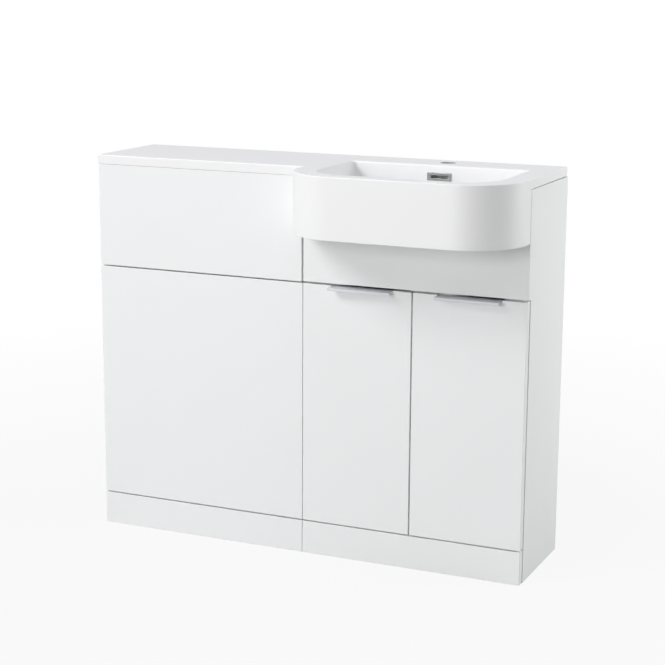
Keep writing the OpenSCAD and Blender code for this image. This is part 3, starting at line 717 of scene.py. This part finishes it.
pulls = {"handle_left": (0.066, 0.206), "handle_right": (0.305, 0.445)}
pull = {"front": -0.075, "back": -0.0358, "top": 0.5995, "lip": 0.006, "leg": 0.028,
        "sheet": 0.0012, "bend": 0.0018, "cornerSoft": 0.0002,
        "screwHeight": 0.5786, "screwApart": 0.05, "holeRadius": 0.0018}


def makePull(node, span):
    strip = newPlane(node + "_folded", span, (pull["front"], pull["back"]), pull["top"])
    edit(strip)
    pick(strip, "EDGE", lambda e: middle(e).y < pull["front"] + near)
    extrude((0, 0, -pull["lip"]))
    pick(strip, "EDGE", lambda e: middle(e).y > pull["back"] - near)
    extrude((0, 0, -pull["leg"]))
    pick(strip, "EDGE", lambda e: turn(e) > 60)
    roundEdges(pull["bend"], 8)
    faceOutwards()
    leaveEdit()
    topFace = max(strip.data.polygons, key=lambda f: f.area)
    downwards = -1 if topFace.normal.z > 0 else 1
    applyModifier(strip, "SOLIDIFY", thickness=pull["sheet"], offset=downwards,
                  use_even_offset=True)
    middleX = (span[0] + span[1]) / 2
    for step in (-1, 0, 1):
        spot = (middleX + step * pull["screwApart"], pull["back"], pull["screwHeight"])
        combine(strip, newRod("drill", spot, pull["holeRadius"], past, "Y", 24), "DIFFERENCE")
    applyModifier(strip, "BEVEL", width=pull["cornerSoft"], segments=2, limit_method="ANGLE",
                  angle_limit=radians(50))
    smooth(strip, 40)
    return finish(strip, handleMetal, nodes[node]["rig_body"], "handle_metal", node)


for node, span in pulls.items():
    makePull(node, span)
print("pulls made")


# small metal and plastic fittings

def makeFitting(node, material, slotName, radius, steps=2):
    piece = softCopy(node, "_piece", 0.0001, 1, shortest=9)  # rounds nothing, the modifier does
    applyModifier(piece, "BEVEL", width=radius, segments=steps, limit_method="ANGLE",
                  angle_limit=radians(sharp))
    smooth(piece, 40)
    return finish(piece, material, nodes[node]["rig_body"], slotName, node)


for node in ("hinge_cups_left", "hinge_cups_right", "hinge_links_left", "hinge_links_right",
             "hinge_arms", "hinge_pins", "hinge_plates", "shelf_pins", "wall_brackets",
             "cam_bolts", "unit_connectors"):
    makeFitting(node, nickel, "fitting_steel", 0.0003)
for node in ("upper_panel_studs", "fixed_front_studs", "stud_sockets"):
    makeFitting(node, nylon, "fitting_plastic", 0.0004)
for node in ("door_bumpers_left", "door_bumpers_right"):
    makeFitting(node, bumperPad, "bumper_plastic", 0.0005, 3)
makeFitting("dowels", beech, "dowel_wood", 0.0008)

screw = {"shank": 0.011, "shankRadius": 0.00175, "point": 0.25, "pointLong": 0.0001,
         "headRadius": 0.0034, "headHeight": 0.0012, "headSoft": 0.0008,
         "crossLong": 0.0036, "crossWide": 0.0009, "crossDeep": 0.0009, "soft": 0.00008}
cam = {"radius": 0.00745, "deep": 0.0125, "faceSoft": 0.0006, "soft": 0.00012,
       "crossLong": 0.0075, "crossWide": 0.0016, "crossDeep": 0.0025,
       "boltDeep": 0.009, "boltRadius": 0.00345, "boltLong": 0.03}


def makeCross(fitting, top):  # a plus-shaped cutter for a driver recess
    size, wide, above = fitting["crossLong"], fitting["crossWide"], 0.001
    bar = newPlane("cross", (-size / 2, size / 2), (-wide / 2, wide / 2), top + above)
    edit(bar)
    pickAll()
    extrude((0, 0, -fitting["crossDeep"] - above))
    pick(bar, "VERT", lambda v: v.co.z < top)
    bpy.ops.transform.resize(value=(0.7, 0.8, 1), center_override=(0, 0, 0))
    faceOutwards()
    leaveEdit()
    other = bpy.data.objects.new("crossBar", bar.data.copy())
    bpy.context.collection.objects.link(other)
    other.data.transform(Matrix.Rotation(pi / 2, 4, "Z"))
    combine(bar, other, "UNION")
    return bar


def takeCorners(piece, width):  # the last thin chamfer of a small turned piece
    applyModifier(piece, "BEVEL", width=width, segments=1, limit_method="ANGLE",
                  angle_limit=radians(50))
    smooth(piece, 40)


def makeScrewModel():  # head on top at z 0, point downwards
    shank, height, point = screw["shank"], screw["headHeight"], screw["point"]
    body = newRod("screwModel", (0, 0, -shank / 2), screw["shankRadius"], shank, sides=24)
    edit(body)
    pick(body, "FACE", lambda f: f.normal.z < -0.9)
    extrude((0, 0, -screw["pointLong"]))
    bpy.ops.transform.resize(value=(point, point, 1), center_override=(0, 0, -shank))
    leaveEdit()
    head = newRod("head", (0, 0, height / 2), screw["headRadius"], height, sides=32)
    edit(head)
    pick(head, "EDGE", lambda e: turn(e) > sharp and middle(e).z > height - 0.0002)
    roundEdges(screw["headSoft"], 4)
    leaveEdit()
    combine(body, head, "UNION")
    combine(body, makeCross(screw, height), "DIFFERENCE")
    takeCorners(body, screw["soft"])
    return body


def makeCamModel():  # driver face on top at z 0, a way through for the bolt below
    body = newRod("camModel", (0, 0, -cam["deep"] / 2), cam["radius"], cam["deep"], sides=48)
    edit(body)
    pick(body, "EDGE", lambda e: turn(e) > sharp and middle(e).z > -0.001)
    roundEdges(cam["faceSoft"], 3)
    leaveEdit()
    combine(body, makeCross(cam, 0.0), "DIFFERENCE")
    boltWay = newRod("boltWay", (0, 0, -cam["boltDeep"]), cam["boltRadius"], cam["boltLong"],
                     "X", 32)
    combine(body, boltWay, "DIFFERENCE")
    takeCorners(body, cam["soft"])
    return body


def faceCentre(low, high, towards):  # middle of the box's side that looks this way
    spot = (low + high) / 2
    for axis in range(3):
        if towards[axis]:
            spot[axis] = (high if towards[axis] > 0 else low)[axis]
    return spot


def placeScrews(node, model, headSide):
    for i, (low, high) in enumerate(solidBoxes(node)):
        towards = headSide(low, high)
        spot = faceCentre(low, high, towards) - towards * screw["headHeight"]
        piece = placeCopy(model, "%s_%02d" % (node, i + 1), spot, towards)
        finish(piece, nickel, nodes[node]["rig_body"], "fitting_steel", node)


def towardsMiddle(low, high):  # screw heads on the hinge plates face the cabinet's middle
    return Vector((1 if (low.x + high.x) / 2 < 0.25 else -1, 0, 0))


def awayFromSide(low, high):  # screw heads on the brackets face away from the nearest side
    x = (low.x + high.x) / 2
    return Vector((1 if -0.5 < x < -0.4 or 0 < x < 0.1 else -1, 0, 0))


def camFace(low, high):  # open face: under the base, else towards the cabinet's inside
    if high.z - low.z < 0.013:
        return Vector((0, 0, -1))
    return Vector((0, -1 if (low.y + high.y) / 2 > 0.1 else 1, 0))


screwModel = makeScrewModel()
for node in ("handle_screws_left", "handle_screws_right", "cup_screws_left", "cup_screws_right"):
    placeScrews(node, screwModel, lambda low, high: Vector((0, 1, 0)))
placeScrews("plate_screws", screwModel, towardsMiddle)
placeScrews("bracket_screws", screwModel, awayFromSide)

camModel = makeCamModel()
for i, (low, high) in enumerate(solidBoxes("cams")):
    towards = camFace(low, high)
    spot = faceCentre(low, high, towards)
    finish(placeCopy(camModel, "cams_%02d" % (i + 1), spot, towards), nickel, "carcass",
           "fitting_steel", "cams")
for model in (screwModel, camModel):
    bpy.data.objects.remove(model)
print("fittings made")


# floor, lamps and world

studio = {"floorSize": 30, "floorShade": "#b8b8b8",
          "fadeFrom": 0.8, "fadeTo": 2.5, "paleNear": 0.9,  # a soft shadow shows near the object
          "world": 0.2, "mirrored": 0.6, "aim": (0.1, 0.0, 0.45)}
lamps = {
    "keyLeft": {"place": (-3.69, -3.79, 4.95), "size": 2.8, "power": 226},
    "frontLow": {"place": (-0.92, -5.78, 1.7), "size": 2.2, "power": 120},
    "overhead": {"place": (0.1, -0.19, 5.95), "size": 2.2, "power": 74, "tint": "#f4f4ff"},
    "backRight": {"place": (2.27, 1.26, 1.12), "size": 1.5, "power": 34, "tint": "#fbfffd"},
}


def seenRays(tree):  # 1 for what the camera or glass sees, the mirrored share for gloss and metal
    light = addNode(tree, "ShaderNodeLightPath")
    straight = addNode(tree, "ShaderNodeMath", {}, {0: light.outputs["Is Camera Ray"],
                                                   1: light.outputs["Is Transmission Ray"]})
    return addNode(tree, "ShaderNodeMath", {1: studio["mirrored"]},
                   {0: light.outputs["Is Glossy Ray"], 2: straight.outputs["Value"]},
                   operation="MULTIPLY_ADD").outputs["Value"]


def makeFloor():
    side = studio["floorSize"] / 2
    floor = newPlane("floor", (-side, side), (-side, side), 0.0)
    edit(floor)
    pickAll()
    bpy.ops.mesh.subdivide(number_cuts=8)
    leaveEdit()
    material, tree, shader = newMaterial("studioFloor", Base_Color=hexColour(studio["floorShade"]),
                                         Roughness=0.9, Specular_IOR_Level=0.0)
    place = addNode(tree, "ShaderNodeTexCoord")
    distance = addNode(tree, "ShaderNodeVectorMath", {}, {0: place.outputs["Object"]},
                       operation="LENGTH")
    fade = addNode(tree, "ShaderNodeMapRange",
                   {"From Min": studio["fadeFrom"], "From Max": studio["fadeTo"],
                    "To Min": studio["paleNear"], "To Max": 1.0},
                   {"Value": distance.outputs["Value"]})
    shown = addNode(tree, "ShaderNodeMath", {}, {0: fade.outputs["Result"], 1: seenRays(tree)},
                    operation="MULTIPLY")
    white = addNode(tree, "ShaderNodeEmission", {"Color": (1, 1, 1, 1), "Strength": 1.0})
    mixed = addNode(tree, "ShaderNodeMixShader", {}, {"Fac": shown.outputs["Value"],
                                                     1: shader.outputs["BSDF"],
                                                     2: white.outputs["Emission"]})
    tree.links.new(mixed.outputs["Shader"], tree.nodes["Material Output"].inputs["Surface"])
    floor.data.materials.append(material)


def makeWorld():
    world = bpy.data.worlds.new("studioWorld")
    world.use_nodes = True
    bpy.context.scene.world = world
    tree = world.node_tree
    tree.nodes.clear()
    soft = addNode(tree, "ShaderNodeBackground",
                   {"Color": (1, 1, 1, 1), "Strength": studio["world"]})
    white = addNode(tree, "ShaderNodeBackground", {"Color": (1, 1, 1, 1), "Strength": 1.0})
    mixed = addNode(tree, "ShaderNodeMixShader", {}, {"Fac": seenRays(tree),
                                                     1: soft.outputs["Background"],
                                                     2: white.outputs["Background"]})
    addNode(tree, "ShaderNodeOutputWorld", {}, {"Surface": mixed.outputs["Shader"]})


def makeLamp(name, settings):
    leaveEdit()
    place = Vector(settings["place"])
    facing = (Vector(studio["aim"]) - place).to_track_quat("-Z", "Y").to_euler()
    bpy.ops.object.light_add(type="AREA", location=place, rotation=facing)
    lamp = bpy.context.object
    lamp.name = name
    lamp.data.size = settings["size"]
    lamp.data.energy = settings["power"]
    lamp.data.color = hexColour(settings.get("tint", "#ffffff"))[:3]


makeFloor()
makeWorld()
for name, settings in lamps.items():
    makeLamp(name, settings)
bpy.context.scene.view_settings.view_transform = "Standard"
print("studio made")
